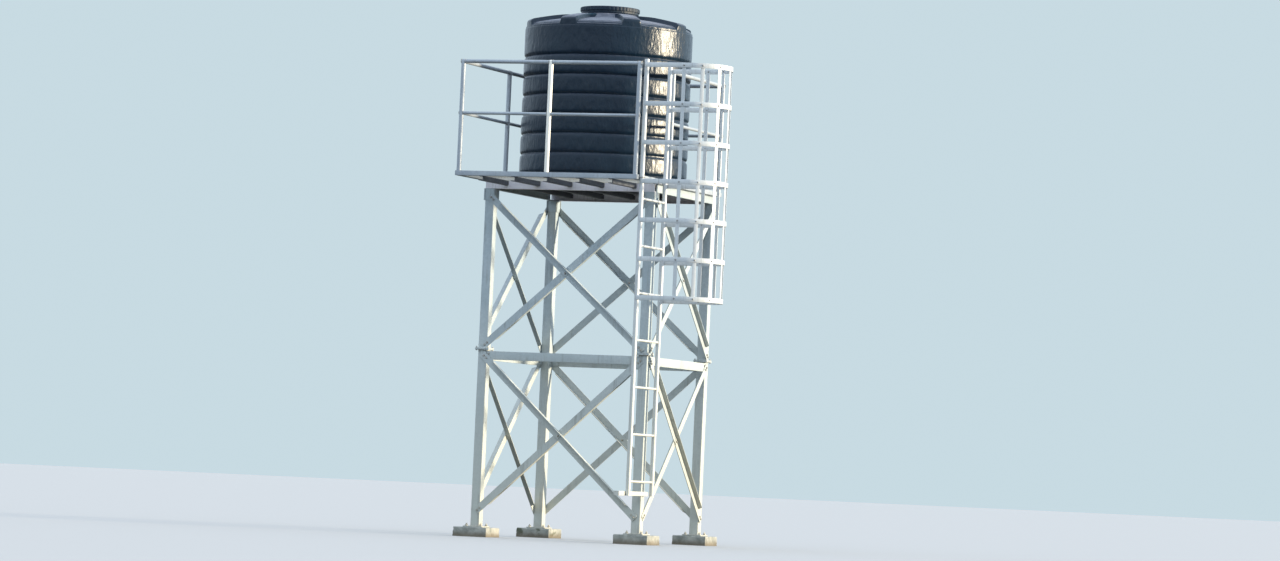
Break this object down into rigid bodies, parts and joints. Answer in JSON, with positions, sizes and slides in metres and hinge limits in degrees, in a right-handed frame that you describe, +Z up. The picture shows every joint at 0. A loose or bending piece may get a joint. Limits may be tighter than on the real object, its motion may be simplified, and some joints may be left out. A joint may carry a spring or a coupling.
{
  "type": "water tower",
  "caption": "Elevated water tower: ribbed plastic tank on a railed steel platform over four braced legs, with a caged ladder.",
  "frame": {"origin": "on the ground under the middle of the whole extent; the tower's own axis is at x = -0.369 m, y = 0.340 m", "axes": "+Z up, -Y out of the front with the walkway, +X towards the ladder and its cage"},
  "size_m": [2.919, 2.86, 5.71],
  "materials": {
    "concrete": "rough cast concrete",
    "steel_frame": "weathered light grey, satin",
    "steel_deck": "weathered light grey, satin",
    "steel_rail": "weathered off-white, satin",
    "tank_plastic": "black moulded plastic, semi-gloss"
  },
  "bodies": {
    "tower": {"footing_front_left": "concrete", "footing_front_right": "concrete", "footing_back_left": "concrete", "footing_back_right": "concrete", "leg_front_left": "steel_frame", "leg_front_right": "steel_frame", "leg_back_left": "steel_frame", "leg_back_right": "steel_frame", "belt_front": "steel_frame", "belt_right": "steel_frame", "belt_back": "steel_frame", "belt_left": "steel_frame", "brace_front_lower_inner": "steel_frame", "brace_front_lower_outer": "steel_frame", "brace_front_upper_inner": "steel_frame", "brace_front_upper_outer": "steel_frame", "brace_right_lower_inner": "steel_frame", "brace_right_lower_outer": "steel_frame", "brace_right_upper_inner": "steel_frame", "brace_right_upper_outer": "steel_frame", "brace_back_lower_inner": "steel_frame", "brace_back_lower_outer": "steel_frame", "brace_back_upper_inner": "steel_frame", "brace_back_upper_outer": "steel_frame", "brace_left_lower_inner": "steel_frame", "brace_left_lower_outer": "steel_frame", "brace_left_upper_inner": "steel_frame", "brace_left_upper_outer": "steel_frame", "main_beam_left": "steel_frame", "main_beam_right": "steel_frame", "platform_frame": "steel_frame", "deck_plate": "steel_deck", "walkway_grating": "steel_deck", "guard_rail_front": "steel_rail", "guard_rail_back": "steel_rail", "guard_rail_left": "steel_rail", "guard_rail_right": "steel_rail", "ladder": "steel_rail", "ladder_foot_bracket": "steel_frame", "ladder_cage": "steel_rail", "tank_bottom": "tank_plastic", "tank_wall": "tank_plastic", "tank_roof": "tank_plastic"},
    "lid": {"manhole_lid": "tank_plastic"}
  },
  "joints": [
    {"name": "manhole_lid_lift", "type": "slide", "parent": "tower", "child": "lid", "axis": [0, 0, 1], "range_m": [0, 0.3]}
  ]
}
